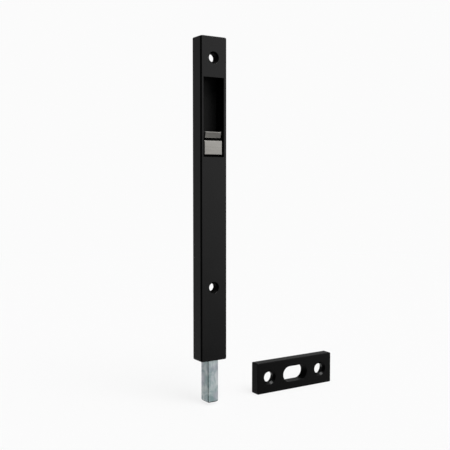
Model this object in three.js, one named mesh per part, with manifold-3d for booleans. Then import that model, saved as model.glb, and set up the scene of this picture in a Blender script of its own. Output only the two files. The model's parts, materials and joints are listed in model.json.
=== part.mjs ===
// Surface-mounted toggle bolt latch with its loose strike plate.
//
// Row frame, in millimetres: X to the right along the front face, Y into the door, Z up. The origin is the
// centre of the housing's back, in the plane that lies on the door.
//
// The latch is drawn in its own coordinates inside a group: x from the housing's centre line, y as depth
// behind the front face, z as height above the housing's bottom end.

import * as THREE from 'three';
import { mergeVertices } from 'three/addons/utils/BufferGeometryUtils.js';
import Module from 'manifold-3d';

const wasm = await Module();
wasm.setup();

// ---------------------------------------------------------------- driving dimensions

const AIR = 0.15; // between pieces that touch in the real latch
const OVERSHOOT = 1; // how far a cutter runs past the face it cuts
const OVERLAP = 1; // how far the shapes of one piece run into each other before they are joined
const SMALL_SIDES = 12; // sides of a screw or rivet
const MEDIUM_SIDES = 16; // sides of the pivot and the buffer
const ROUND_SIDES = 24; // sides of a larger round feature

const LENGTH = 220; // housing, bottom end to top end
const WIDTH = 20.3;
const DEPTH = 10.8;
const FRONT_WALL = 1;
const SIDE_WALL = 2.15;
const TOP_WALL = 2;
const BOTTOM_WALL = 4;
const OUTER_RADIUS = 0.65;
const CAVITY_HALF = WIDTH / 2 - SIDE_WALL;

const TRAVEL = 29; // the bolt withdraws this far, until it is flush with the housing

const WINDOW_BOTTOM = 139.4; // the finger window takes the cavity's whole width
const WINDOW_TOP = 192.8;

const SCREW_HOLE_HEIGHTS = [50.6, 205.9]; // the two holes that fasten the latch
const SCREW_HOLE_RADIUS = 2.9;
const SCREW_SINK_RADIUS = 4;
const SCREW_SINK_LIP = 0.25; // straight part at the front of the countersink
const SCREW_BOSS_RADIUS = 5.5;
const SCREW_BOSS_BACK = 5.8;

const PLATE_THICKNESS = 1;
const PLATE_HALF = 8.85;
const PLATE_BOTTOM = 62;
const PLATE_TOP = 198.6;
const PLATE_FRONT = DEPTH - PLATE_THICKNESS;
const PLATE_SCREWS = [
  { x: -5.8, z: 196 },
  { x: 5.8, z: 196 },
  { x: 5.8, z: 86 },
  { x: 5.8, z: 66 },
];
const PLATE_BOSS_RADIUS = 2.3;
const PLATE_BORE = { radius: 1.05, front: 5.2 };

const BOLT_HALF = 4.1;
const BOLT_FRONT = 1.1;
const BOLT_BACK = 10.5;
const BOLT_TIP = -29.5;
const BOLT_TOP = 15.5;
const BOLT_SEAT = 7.3; // depth of the milled seat that carries the link
const BOLT_SEAT_BOTTOM = 2.5;

const GUIDE_TOP = 44;
const GUIDE_BACK = 7.2;
const GUIDE_SCREW = { x: 6, z: 24 };
const GUIDE_PAD = { radius: 1.5, back: 2.7, bore: 0.85 };

const LINK_FRONT = 7.4;
const LINK_BACK = 9.4;
const LINK_BOTTOM = BOTTOM_WALL + 0.3;
const LINK_SCREW_HEIGHT = 8.6;
const LINK_RIVET_HEIGHT = 119;
const LINK_RIVET_X = [-4.6, 2.4];
const LINK_LEFT = -7.4;
const LINK_STRIP_RIGHT = -3.4; // the strip passes the lower fastening hole on its left
const LINK_FOOT = { right: 3, top: 13, strip: 16 }; // the pad under the link screw
const LINK_HEAD = { right: 5, strip: 110, bottom: 113, top: 125 }; // the pad under the rivets

const CARRIAGE_HALF = 7.8;
const CARRIAGE_FRONT = 1.4;
const CARRIAGE_BACK = 7.3;
const CARRIAGE_BOTTOM = 96;
const CARRIAGE_SHOULDER = 140.4; // top of the full-depth block, under the lever
const CARRIAGE_TOP = 157;
const CARRIAGE_FLOOR = 6; // front of the thin floor behind the lever

const PIVOT = { y: 3.9, z: 151.3 };
const PIN_RADIUS = 1;
const PIN_FIT = { carriage: 0.04, lever: 0.08 }; // how much wider than the pin its bores are, in radius
const HUB_RADIUS = 1.9;
const HUB_HALF = 4.8;
const EAR_INNER = 5;
const EAR_OUTER = 7.75;
const LEVER_REST = { half: 4.5, height: 3, gap: 0.2 }; // the step that the lower pad leans on

const LOWER_PAD = { half: 6.95, front: 0.6, back: 1.95, bottom: 141.1, top: 150.5 };
const UPPER_PAD = { half: 6.25, bottom: 152.3, top: 156.4, topFront: 0.5, bottomFront: 1.2, back: 1.95 };
const SPRING_RIB_BACK = 3; // the rib behind the upper pad, which the spring pushes on
const GROOVE_FLOOR = 1.9;

const SPRING = { radius: 1.02, wire: 0.17, turns: 3.5, front: 3.15, back: 5.75, z: 155 };

const LEAF = { left: 0.5, right: 5.5, bottom: 97, top: 111, thickness: 0.3, foot: 6.45, bow: 2.55 };
const LEAF_BUMP = { halfWidth: 1.2, height: 0.75 };
const NOTCH = { halfWidth: 1.3, depth: 0.6 };

const BUFFER = { z: 91.7, inner: 2.1, outer: 4, front: 1.5, back: 6.5 };
const STUD_BACK = 7;

const STRIKE = { width: 68.2, height: 22.6, thickness: 7.4, edge: 0.45, corner: 0.7 };
const STRIKE_PLACE = { x: 73, z: -129.5 };
const STRIKE_SLOT = { width: 21.9, height: 11.5 };
const STRIKE_HOLES = { spacing: 46.8, radius: 3.85, sinkRadius: 5.3, lip: 0.15 };
const STRIKE_HOLE_BACK = { radius: 6, depth: 3.3 }; // each hole is opened out at the back

// ---------------------------------------------------------------- materials

function finish(colour, roughness, metalness) {
  return new THREE.MeshStandardMaterial({ color: colour, roughness, metalness });
}

const blackPaint = finish(0x1d1e20, 0.45, 0.3);
const blackSteel = finish(0x151517, 0.55, 0.4);
const blackAcetal = finish(0x101012, 0.5, 0);
const whiteNylon = finish(0xd8d5c8, 0.6, 0);
const blackRubber = finish(0x0c0c0c, 0.9, 0);
const zincSteel = finish(0xb4b9c0, 0.35, 1);
const satinNickel = finish(0xaaa9a5, 0.4, 1);
const brightSteel = finish(0x9b9da0, 0.3, 1);
const springSteel = finish(0x8d9196, 0.3, 1);

// ---------------------------------------------------------------- solids

// A closed geometry as a manifold solid. Triangles that shrink to a line at a lathe's axis are dropped.
function toSolid(geometry) {
  geometry.deleteAttribute('normal');
  geometry.deleteAttribute('uv');
  const merged = mergeVertices(geometry, 1e-4);
  const index = merged.index.array;
  const kept = [];
  for (let i = 0; i < index.length; i += 3) {
    const [a, b, c] = [index[i], index[i + 1], index[i + 2]];
    if (a !== b && b !== c && c !== a) kept.push(a, b, c);
  }
  const vertProperties = Float32Array.from(merged.attributes.position.array);
  const triVerts = Uint32Array.from(kept);
  return new wasm.Manifold(new wasm.Mesh({ numProp: 3, vertProperties, triVerts }));
}

function toGeometry(solid) {
  const mesh = solid.getMesh();
  const geometry = new THREE.BufferGeometry();
  geometry.setAttribute('position', new THREE.BufferAttribute(mesh.vertProperties, 3));
  geometry.setIndex(new THREE.BufferAttribute(mesh.triVerts, 1));
  geometry.computeVertexNormals();
  return geometry;
}

function join(first, ...others) {
  return others.reduce((whole, other) => whole.add(other), first);
}

function cut(first, ...others) {
  return others.reduce((whole, other) => whole.subtract(other), first);
}

// A block between two limits on each axis.
function block([x0, x1], [y0, y1], [z0, z1]) {
  const geometry = new THREE.BoxGeometry(x1 - x0, y1 - y0, z1 - z0);
  geometry.translate((x0 + x1) / 2, (y0 + y1) / 2, (z0 + z1) / 2);
  return toSolid(geometry);
}

// A closed outline through points.
function outline(points) {
  return new THREE.Shape(points.map(([a, b]) => new THREE.Vector2(a, b)));
}

// A rectangle whose four corners are rounded.
function roundedOutline([a0, a1], [b0, b1], radius) {
  const shape = new THREE.Shape();
  shape.absarc(a1 - radius, b0 + radius, radius, -Math.PI / 2, 0);
  shape.absarc(a1 - radius, b1 - radius, radius, 0, Math.PI / 2);
  shape.absarc(a0 + radius, b1 - radius, radius, Math.PI / 2, Math.PI);
  shape.absarc(a0 + radius, b0 + radius, radius, Math.PI, (3 * Math.PI) / 2);
  return shape;
}

// The three prisms below push an outline along one axis. The outline's own two axes are the other two,
// in X, Y, Z order.
function prismAlongZ(shape, [z0, z1], curveSegments = 4) {
  const geometry = new THREE.ExtrudeGeometry(shape, { depth: z1 - z0, bevelEnabled: false, curveSegments });
  geometry.translate(0, 0, z0);
  return toSolid(geometry);
}

function prismAlongY(shape, [y0, y1], curveSegments = 4) {
  const geometry = new THREE.ExtrudeGeometry(shape, { depth: y1 - y0, bevelEnabled: false, curveSegments });
  geometry.rotateX(Math.PI / 2);
  geometry.translate(0, y1, 0);
  return toSolid(geometry);
}

function prismAlongX(shape, [x0, x1], curveSegments = 4) {
  const geometry = new THREE.ExtrudeGeometry(shape, { depth: x1 - x0, bevelEnabled: false, curveSegments });
  const yAxis = new THREE.Vector3(0, 1, 0);
  const zAxis = new THREE.Vector3(0, 0, 1);
  const xAxis = new THREE.Vector3(1, 0, 0);
  geometry.applyMatrix4(new THREE.Matrix4().makeBasis(yAxis, zAxis, xAxis));
  geometry.translate(x0, 0, 0);
  return toSolid(geometry);
}

// A turned solid about an axis along Y. The profile is a list of [radius, y] with y rising.
function turned(profile, x, z, sides) {
  const points = profile.map(([radius, y]) => new THREE.Vector2(radius, y));
  const geometry = new THREE.LatheGeometry(points, sides);
  geometry.translate(x, 0, z);
  return toSolid(geometry);
}

function rod(radius, [y0, y1], x, z, sides = SMALL_SIDES) {
  return turned([[0, y0], [radius, y0], [radius, y1], [0, y1]], x, z, sides);
}

// A cylinder whose axis lies along X, at a depth and a height.
function crossRod(radius, [x0, x1], y, z) {
  const geometry = new THREE.CylinderGeometry(radius, radius, x1 - x0, MEDIUM_SIDES);
  geometry.rotateZ(Math.PI / 2);
  geometry.translate((x0 + x1) / 2, y, z);
  return toSolid(geometry);
}

// A countersunk screw or rivet that enters from the back: its head's rim is at `head`, its end at `tip`.
function sunkFastener({ shank, rim, head, tip, x, z }) {
  const lip = 0.15;
  const cone = rim - shank;
  return turned(
    [[0, tip], [shank * 0.7, tip], [shank, tip + 0.4], [shank, head - lip - cone], [rim, head - lip],
      [rim, head], [0, head]],
    x, z, SMALL_SIDES,
  );
}

// The hole for such a fastener, from `bottom` out through the face at `head`.
function sunkHole({ shank, rim, head, bottom, x, z }) {
  const cone = rim - shank;
  return turned(
    [[0, bottom], [shank, bottom], [shank, head - cone - AIR], [rim, head - AIR],
      [rim, head + OVERSHOOT], [0, head + OVERSHOOT]],
    x, z, SMALL_SIDES,
  );
}

// A cross recess in a screw head that faces back.
function crossRecess(head, x, z, reach, depth) {
  const blade = 0.25;
  const along = [head - depth, head + OVERSHOOT];
  const flat = block([x - reach, x + reach], along, [z - blade, z + blade]);
  const upright = block([x - blade, x + blade], along, [z - reach, z + reach]);
  return flat.add(upright);
}

// ---------------------------------------------------------------- housing and its fixed pieces

function roundedHousingBlock() {
  const r = OUTER_RADIUS;
  const section = prismAlongZ(roundedOutline([-WIDTH / 2, WIDTH / 2], [0, DEPTH + r], r), [0, LENGTH]);
  const profile = prismAlongX(roundedOutline([0, DEPTH + r], [0, LENGTH], r), [-WIDTH / 2, WIDTH / 2]);
  const trimmed = block([-WIDTH / 2, WIDTH / 2], [0, DEPTH], [0, LENGTH]);
  return section.intersect(profile).intersect(trimmed);
}

// The countersunk hole for one fastening screw, entered from the front.
function fasteningHole(height) {
  const cone = SCREW_SINK_RADIUS - SCREW_HOLE_RADIUS;
  return turned(
    [[0, -OVERSHOOT], [SCREW_SINK_RADIUS, -OVERSHOOT], [SCREW_SINK_RADIUS, SCREW_SINK_LIP],
      [SCREW_HOLE_RADIUS, SCREW_SINK_LIP + cone], [SCREW_HOLE_RADIUS, DEPTH + OVERSHOOT],
      [0, DEPTH + OVERSHOOT]],
    0, height, ROUND_SIDES,
  );
}

function housing() {
  const inner = [-CAVITY_HALF, CAVITY_HALF];
  const cavity = block(inner, [FRONT_WALL, DEPTH + OVERSHOOT], [BOTTOM_WALL, LENGTH - TOP_WALL]);
  const window = block(inner, [-OVERSHOOT, FRONT_WALL + OVERSHOOT], [WINDOW_BOTTOM, WINDOW_TOP]);
  const boltHalf = BOLT_HALF + AIR;
  const boltSlot = block([-boltHalf, boltHalf], [FRONT_WALL, DEPTH + OVERSHOOT],
    [-OVERSHOOT, BOTTOM_WALL + OVERSHOOT]);
  const rebateHalf = PLATE_HALF + AIR;
  const rebate = block([-rebateHalf, rebateHalf], [PLATE_FRONT - AIR / 2, DEPTH + OVERSHOOT],
    [PLATE_BOTTOM - AIR, PLATE_TOP + AIR]);
  let shell = cut(roundedHousingBlock(), cavity, window, boltSlot);

  const wallBack = FRONT_WALL - 0.1; // bosses start inside the wall, so that they join it
  for (const height of SCREW_HOLE_HEIGHTS) {
    shell = shell.add(rod(SCREW_BOSS_RADIUS, [wallBack, SCREW_BOSS_BACK], 0, height, ROUND_SIDES));
    shell = shell.subtract(fasteningHole(height));
  }
  for (const { x, z } of PLATE_SCREWS) {
    shell = shell.add(rod(PLATE_BOSS_RADIUS, [wallBack, PLATE_FRONT - AIR / 2], x, z));
    shell = shell.subtract(rod(PLATE_BORE.radius, [PLATE_BORE.front, DEPTH + OVERSHOOT], x, z));
  }
  for (const side of [-1, 1]) {
    const x = side * GUIDE_SCREW.x;
    shell = shell.add(rod(GUIDE_PAD.radius, [wallBack, GUIDE_PAD.back], x, GUIDE_SCREW.z));
    shell = shell.subtract(rod(GUIDE_PAD.bore, [FRONT_WALL, GUIDE_PAD.back + OVERSHOOT], x, GUIDE_SCREW.z));
  }
  shell = shell.add(rod(BUFFER.inner - 0.1, [wallBack, STUD_BACK], 0, BUFFER.z, MEDIUM_SIDES));
  return shell.subtract(rebate);
}

// One stamped notch across the back plate's inner face, which the leaf's crest drops into.
function detentNotch(height) {
  const face = PLATE_FRONT;
  const shape = outline([
    [face - OVERSHOOT, height - NOTCH.halfWidth],
    [face, height - NOTCH.halfWidth],
    [face + NOTCH.depth, height],
    [face, height + NOTCH.halfWidth],
    [face - OVERSHOOT, height + NOTCH.halfWidth],
  ]);
  return prismAlongX(shape, [LEAF.left - 0.6, LEAF.right + 0.6]);
}

const plateScrew = { shank: 0.95, rim: 1.8, head: DEPTH, tip: 5.5 };
const plateScrewHole = { shank: 1.1, rim: 1.95, head: DEPTH, bottom: 8 };

function backPlate() {
  const plan = roundedOutline([-PLATE_HALF, PLATE_HALF], [PLATE_BOTTOM, PLATE_TOP], 0.8);
  let plate = prismAlongY(plan, [PLATE_FRONT, DEPTH], 2);
  const restNotch = (LEAF.bottom + LEAF.top) / 2;
  for (const height of [restNotch, restNotch + TRAVEL]) {
    plate = plate.subtract(detentNotch(height));
  }
  for (const { x, z } of PLATE_SCREWS) {
    plate = plate.subtract(sunkHole({ ...plateScrewHole, x, z }));
  }
  return plate;
}

function backPlateScrew({ x, z }) {
  return sunkFastener({ ...plateScrew, x, z }).subtract(crossRecess(DEPTH, x, z, 1.05, 0.5));
}

const guideScrew = { shank: 0.75, rim: 1.4, head: GUIDE_BACK, tip: 1.2 };
const guideScrewHole = { shank: 0.85, rim: 1.5, head: GUIDE_BACK, bottom: 2 };

// A nylon cheek that fills the cavity beside the bolt. side is -1 on the left and 1 on the right.
function guideCheek(side) {
  const across = [BOLT_HALF + AIR, CAVITY_HALF - AIR].map((x) => side * x).sort((a, b) => a - b);
  const cheek = block(across, [FRONT_WALL + AIR, GUIDE_BACK], [BOTTOM_WALL + 0.2, GUIDE_TOP]);
  const x = side * GUIDE_SCREW.x;
  const z = GUIDE_SCREW.z;
  const padPocket = rod(GUIDE_PAD.radius + AIR, [0, GUIDE_PAD.back + AIR], x, z);
  return cut(cheek, padPocket, sunkHole({ ...guideScrewHole, x, z }));
}

function guideCheekScrew(side) {
  const x = side * GUIDE_SCREW.x;
  const screw = sunkFastener({ ...guideScrew, x, z: GUIDE_SCREW.z });
  return screw.subtract(crossRecess(GUIDE_BACK, x, GUIDE_SCREW.z, 0.8, 0.4));
}

// The rubber ring that the carriage lands on when the bolt is thrown.
function stopBuffer() {
  const { inner, outer, front, back, z } = BUFFER;
  const edge = 0.5;
  const ring = turned(
    [[0, front], [outer - edge, front], [outer, front + edge], [outer, back - edge], [outer - edge, back],
      [0, back]],
    0, z, MEDIUM_SIDES,
  );
  return ring.subtract(rod(inner, [0, DEPTH], 0, z, MEDIUM_SIDES));
}

// ---------------------------------------------------------------- the sliding pieces

const linkScrew = { shank: 1.25, rim: 2.4, head: LINK_BACK, tip: 3.9, x: 0, z: LINK_SCREW_HEIGHT };

function bolt() {
  const chamfer = 0.55;
  const tipRadius = 1.5;
  const across = [-BOLT_HALF, BOLT_HALF];
  const through = [BOLT_FRONT, BOLT_BACK];
  const upright = [BOLT_TIP, BOLT_TOP + tipRadius]; // the radius at the top end is cut off again
  const section = prismAlongZ(roundedOutline(across, through, chamfer), upright, 1);
  const frontView = prismAlongY(roundedOutline(across, upright, tipRadius), through);
  const sideView = prismAlongX(roundedOutline(through, upright, tipRadius), across);
  const overTop = block([-WIDTH, WIDTH], [-DEPTH, 2 * DEPTH], [BOLT_TOP, BOLT_TOP + 5]);
  const seat = block([-WIDTH, WIDTH], [BOLT_SEAT, 2 * DEPTH], [BOLT_SEAT_BOTTOM, BOLT_TOP + 5]);
  const tapped = rod(1.35, [3.6, DEPTH], linkScrew.x, linkScrew.z);
  return cut(section.intersect(frontView).intersect(sideView), overTop, seat, tapped);
}

// The flat link runs up the left side, clear of the lower fastening screw, with a pad at each end.
function connectingLink() {
  const plan = outline([
    [LINK_LEFT, LINK_BOTTOM], [LINK_FOOT.right, LINK_BOTTOM], [LINK_FOOT.right, LINK_FOOT.top],
    [LINK_STRIP_RIGHT, LINK_FOOT.strip], [LINK_STRIP_RIGHT, LINK_HEAD.strip],
    [LINK_HEAD.right, LINK_HEAD.bottom], [LINK_HEAD.right, LINK_HEAD.top], [LINK_LEFT, LINK_HEAD.top],
  ]);
  let link = prismAlongY(plan, [LINK_FRONT, LINK_BACK]);
  link = link.subtract(sunkHole({ ...linkScrew, shank: 1.4, rim: 2.55, bottom: 5 }));
  const rivetHole = { shank: 1.1, rim: 1.85, head: LINK_BACK, bottom: 5, z: LINK_RIVET_HEIGHT };
  for (const x of LINK_RIVET_X) {
    link = link.subtract(sunkHole({ ...rivetHole, x }));
  }
  return link;
}

function linkScrewSolid() {
  return sunkFastener(linkScrew).subtract(crossRecess(LINK_BACK, linkScrew.x, linkScrew.z, 1.5, 0.8));
}

const RIVET_HEAD = { radius: 1.6, front: 1.9, back: 2.5 };
const RIVET_SHANK = { radius: 1, back: 8.5 };
const RIVET_SUNK_HEAD = { radius: 1.75, lip: 0.15 };

// A rivet with a sunk head in the link and a flat closing head in a pocket at the carriage's front.
function linkRivet(x) {
  const { radius, front, back } = RIVET_HEAD;
  const shank = RIVET_SHANK;
  const sunk = RIVET_SUNK_HEAD;
  return turned(
    [[0, front], [radius, front], [radius, back], [shank.radius, back], [shank.radius, shank.back],
      [sunk.radius, LINK_BACK - sunk.lip], [sunk.radius, LINK_BACK], [0, LINK_BACK]],
    x, LINK_RIVET_HEIGHT, SMALL_SIDES,
  );
}

function carriageEar(side) {
  const across = [EAR_INNER, EAR_OUTER].map((x) => side * x).sort((a, b) => a - b);
  const stalk = block(across, [PIVOT.y - HUB_RADIUS, CARRIAGE_BACK - 0.3],
    [CARRIAGE_SHOULDER - OVERLAP, PIVOT.z]);
  const eye = crossRod(HUB_RADIUS, across, PIVOT.y, PIVOT.z);
  return stalk.add(eye);
}

function carriage() {
  const across = [-CARRIAGE_HALF, CARRIAGE_HALF];
  const body = block(across, [CARRIAGE_FRONT, CARRIAGE_BACK], [CARRIAGE_BOTTOM, CARRIAGE_SHOULDER]);
  const floor = block(across, [CARRIAGE_FLOOR, CARRIAGE_BACK], [CARRIAGE_SHOULDER - OVERLAP, CARRIAGE_TOP]);
  const leverRest = block([-LEVER_REST.half, LEVER_REST.half],
    [LOWER_PAD.back + LEVER_REST.gap, CARRIAGE_FLOOR + OVERLAP / 2],
    [CARRIAGE_SHOULDER - OVERLAP, CARRIAGE_SHOULDER + LEVER_REST.height]);
  let whole = join(body, floor, leverRest, carriageEar(-1), carriageEar(1));

  whole = whole.subtract(crossRod(PIN_RADIUS + PIN_FIT.carriage, [-WIDTH, WIDTH], PIVOT.y, PIVOT.z));
  for (const x of LINK_RIVET_X) {
    const pocket = rod(RIVET_HEAD.radius + AIR, [0, RIVET_HEAD.back + AIR], x, LINK_RIVET_HEIGHT);
    whole = cut(whole, pocket, rod(RIVET_SHANK.radius + 0.1, [0, DEPTH], x, LINK_RIVET_HEIGHT));
  }
  const leafPocket = block([LEAF.left - 0.2, LEAF.right + 0.2], [LEAF.foot - AIR, DEPTH],
    [LEAF.bottom - 0.2, LEAF.top + 0.2]);
  return whole.subtract(leafPocket);
}

// A bowed strip of spring steel with a sharp crest, seen from the side and pushed across its width.
function detentLeaf() {
  const steps = 14;
  const middle = (LEAF.bottom + LEAF.top) / 2;
  const inner = [];
  const outer = [];
  for (let i = 0; i <= steps; i += 1) {
    const z = LEAF.bottom + ((LEAF.top - LEAF.bottom) * i) / steps;
    const bow = LEAF.foot + LEAF.bow * Math.sin((Math.PI * i) / steps);
    const bump = LEAF_BUMP.height * Math.max(0, 1 - Math.abs(z - middle) / LEAF_BUMP.halfWidth);
    inner.push([bow + bump, z]);
    outer.push([bow + bump + LEAF.thickness, z]);
  }
  return prismAlongX(outline([...inner, ...outer.reverse()]), [LEAF.left, LEAF.right]);
}

function togglePin() {
  return crossRod(PIN_RADIUS, [-EAR_OUTER + 0.05, EAR_OUTER - 0.05], PIVOT.y, PIVOT.z);
}

class Helix extends THREE.Curve {
  getPoint(t) {
    const angle = 2 * Math.PI * SPRING.turns * t;
    const y = SPRING.front + SPRING.wire + (SPRING.back - SPRING.front - 2 * SPRING.wire) * t;
    return new THREE.Vector3(SPRING.radius * Math.cos(angle), y, SPRING.z + SPRING.radius * Math.sin(angle));
  }
}

function toggleSpring() {
  const wire = new THREE.Shape().absarc(0, 0, SPRING.wire, 0, 2 * Math.PI);
  const steps = 10 * SPRING.turns;
  const geometry = new THREE.ExtrudeGeometry(wire, {
    steps, extrudePath: new Helix(), bevelEnabled: false, curveSegments: 3,
  });
  return toSolid(geometry);
}

// ---------------------------------------------------------------- the thumb lever

// Two pads in one casting, parted by a groove, on a hub that turns on the pin. The upper pad's face looks
// a little downwards, so that a thumb in the groove can push it up.
function toggleLever() {
  const { half, front, back, bottom, top } = LOWER_PAD;
  const lower = prismAlongX(roundedOutline([front, back], [bottom, top], 0.35), [-half, half]);

  const up = UPPER_PAD;
  const upper = prismAlongX(outline([
    [up.bottomFront, up.bottom], [up.back, up.bottom], [up.back, up.top], [up.topFront, up.top],
  ]), [-up.half, up.half]);

  const across = [-HUB_HALF, HUB_HALF];
  const rib = block(across, [up.back - 0.1, SPRING_RIB_BACK], [up.bottom, up.top]);
  const web = prismAlongX(outline([
    [GROOVE_FLOOR, top - 2], [PIVOT.y, PIVOT.z - HUB_RADIUS], [PIVOT.y, PIVOT.z + HUB_RADIUS],
    [GROOVE_FLOOR, up.bottom + 0.4],
  ]), across);
  const hub = crossRod(HUB_RADIUS, across, PIVOT.y, PIVOT.z);
  const bore = crossRod(PIN_RADIUS + PIN_FIT.lever, [-WIDTH, WIDTH], PIVOT.y, PIVOT.z);
  return join(lower, upper, rib, web, hub).subtract(bore);
}

// ---------------------------------------------------------------- the strike plate

// A hole that is countersunk in front and opened out at the back.
function strikeHole(x) {
  const { radius, sinkRadius, lip } = STRIKE_HOLES;
  const wide = STRIKE_HOLE_BACK;
  const front = -STRIKE.thickness;
  return turned(
    [[0, front - OVERSHOOT], [sinkRadius, front - OVERSHOOT], [sinkRadius, front + lip],
      [radius, front + lip + sinkRadius - radius], [radius, -wide.depth], [wide.radius, -wide.depth],
      [wide.radius, OVERSHOOT], [0, OVERSHOOT]],
    x, 0, ROUND_SIDES,
  );
}

function strikePlate() {
  const { width, height, thickness, edge, corner } = STRIKE;
  const across = [-width / 2, width / 2];
  const upright = [-height / 2, height / 2];
  const through = [-thickness, 0];
  const pastBack = [-thickness, edge];
  const plan = prismAlongY(roundedOutline(across, upright, corner), through);
  const section = prismAlongZ(roundedOutline(across, pastBack, edge), upright, 3);
  const profile = prismAlongX(roundedOutline(pastBack, upright, edge), across, 3);

  const slot = STRIKE_SLOT;
  const slotOutline = roundedOutline([-slot.width / 2, slot.width / 2], [-slot.height / 2, slot.height / 2],
    slot.height / 2 - 0.01);
  const boltSlot = prismAlongY(slotOutline, [-thickness - OVERSHOOT, OVERSHOOT], 8);
  const holes = [-1, 1].map((side) => strikeHole((side * STRIKE_HOLES.spacing) / 2));
  return cut(plan.intersect(section).intersect(profile), boltSlot, ...holes);
}

// ---------------------------------------------------------------- assembly

const latch = new THREE.Group();
latch.position.set(0, -DEPTH, -LENGTH / 2);

const strike = new THREE.Group();
strike.position.set(STRIKE_PLACE.x, 0, STRIKE_PLACE.z);

function place(group, name, solid, material) {
  const mesh = new THREE.Mesh(toGeometry(solid), material);
  mesh.name = name;
  group.add(mesh);
}

place(latch, 'housing', housing(), blackPaint);
place(latch, 'back_plate', backPlate(), blackSteel);
PLATE_SCREWS.forEach((spot, i) => {
  place(latch, `back_plate_screw_${i + 1}`, backPlateScrew(spot), blackSteel);
});
place(latch, 'guide_cheek_left', guideCheek(-1), whiteNylon);
place(latch, 'guide_cheek_right', guideCheek(1), whiteNylon);
place(latch, 'guide_screw_left', guideCheekScrew(-1), brightSteel);
place(latch, 'guide_screw_right', guideCheekScrew(1), brightSteel);
place(latch, 'stop_buffer', stopBuffer(), blackRubber);

place(latch, 'bolt', bolt(), zincSteel);
place(latch, 'connecting_link', connectingLink(), zincSteel);
place(latch, 'link_screw', linkScrewSolid(), brightSteel);
LINK_RIVET_X.forEach((x, i) => {
  place(latch, `link_rivet_${i + 1}`, linkRivet(x), brightSteel);
});
place(latch, 'carriage', carriage(), blackAcetal);
place(latch, 'toggle_pin', togglePin(), brightSteel);
place(latch, 'toggle_spring', toggleSpring(), springSteel);
place(latch, 'detent_leaf', detentLeaf(), springSteel);
place(latch, 'toggle_lever', toggleLever(), satinNickel);

place(strike, 'strike_plate', strikePlate(), blackPaint);

const toggleBoltLatch = new THREE.Group();
toggleBoltLatch.add(latch, strike);

export default toggleBoltLatch;
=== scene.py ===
"""Looks for the toggle bolt latch: fine meshes and materials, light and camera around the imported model."""

import json
import math

import bmesh
import bpy
from mathutils import Matrix, Vector


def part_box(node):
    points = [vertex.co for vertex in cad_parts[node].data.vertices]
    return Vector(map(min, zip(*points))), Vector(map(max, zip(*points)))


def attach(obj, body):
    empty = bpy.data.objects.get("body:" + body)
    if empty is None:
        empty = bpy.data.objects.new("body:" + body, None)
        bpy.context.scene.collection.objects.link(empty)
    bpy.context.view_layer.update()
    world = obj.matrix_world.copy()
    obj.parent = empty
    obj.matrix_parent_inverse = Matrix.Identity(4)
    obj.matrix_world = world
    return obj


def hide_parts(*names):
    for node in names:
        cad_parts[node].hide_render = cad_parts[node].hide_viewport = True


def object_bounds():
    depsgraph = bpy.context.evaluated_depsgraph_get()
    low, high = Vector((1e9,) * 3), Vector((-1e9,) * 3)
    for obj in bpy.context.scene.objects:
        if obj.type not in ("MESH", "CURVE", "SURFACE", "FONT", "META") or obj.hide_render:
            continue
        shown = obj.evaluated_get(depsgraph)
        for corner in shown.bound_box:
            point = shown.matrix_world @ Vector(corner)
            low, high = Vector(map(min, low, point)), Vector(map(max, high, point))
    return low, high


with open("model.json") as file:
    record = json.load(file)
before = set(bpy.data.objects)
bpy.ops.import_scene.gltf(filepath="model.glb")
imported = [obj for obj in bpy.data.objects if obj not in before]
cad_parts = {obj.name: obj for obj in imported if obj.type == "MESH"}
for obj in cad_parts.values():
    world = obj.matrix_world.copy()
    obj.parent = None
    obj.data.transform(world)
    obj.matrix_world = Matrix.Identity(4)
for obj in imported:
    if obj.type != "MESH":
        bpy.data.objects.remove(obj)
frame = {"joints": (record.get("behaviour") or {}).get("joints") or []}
cad_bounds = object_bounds()

# ------------------------------------------------------------------ sizes, in millimetres in the row frame

MM = 0.001


def node_box(node):
    """The lowest and highest corners of a CAD node, in millimetres."""
    low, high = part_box(node)
    return low / MM, high / MM


housing_low, housing_high = node_box("housing")
FRONT, BACK = housing_low.y, housing_high.y
BOTTOM, TOP = housing_low.z, housing_high.z
SIDE = housing_high.x

FRONT_WALL = 1.0
SIDE_WALL = 2.15
TOP_WALL = 2.0
BOTTOM_WALL = 4.0
CAVITY = SIDE - SIDE_WALL  # half the width inside
CORNER_RADIUS = 1.2
FRONT_EDGE = 0.5  # rounding of the three narrow front edges
LEFT_EDGE = (  # the broad front left edge: how deep behind the front, how far drawn in
    (0.0, 1.0),
    (0.03, 0.9),
    (0.1, 0.82),
    (0.82, 0.1),
    (0.9, 0.03),
    (1.0, 0.0),
)
# how deep behind the front each outline of the housing lies
OUTLINE_DEPTHS = (0.0, 0.03, 0.1, 0.2, 0.35, FRONT_EDGE, 0.82, 0.9, 1.0, BACK - FRONT)

WINDOW = (BOTTOM + 139.4, BOTTOM + 192.8)
HOLE_HEIGHTS = (BOTTOM + 50.6, BOTTOM + 205.9)
HOLE_RADIUS = 2.9
HOLE_SINK_RADIUS = 4.0
HOLE_LIP = 0.25  # straight wall in front of the countersink
BOSS_RADIUS = 5.5
BOSS_BACK = FRONT + 5.8

AIR = 0.15  # gap between pieces that don't touch
PAST = 1.0  # how far a cutter runs past the face it cuts
SMOOTH = 64  # sides of a large round feature
SMALL = 32  # sides of a screw


# ------------------------------------------------------------------ mesh kit, all in millimetres


def to_object(name, mesh_data):
    """A scene object from a bmesh."""
    mesh = bpy.data.meshes.new(name)
    mesh_data.normal_update()
    mesh_data.to_mesh(mesh)
    mesh_data.free()
    made = bpy.data.objects.new(name, mesh)
    bpy.context.scene.collection.objects.link(made)
    return made


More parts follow.
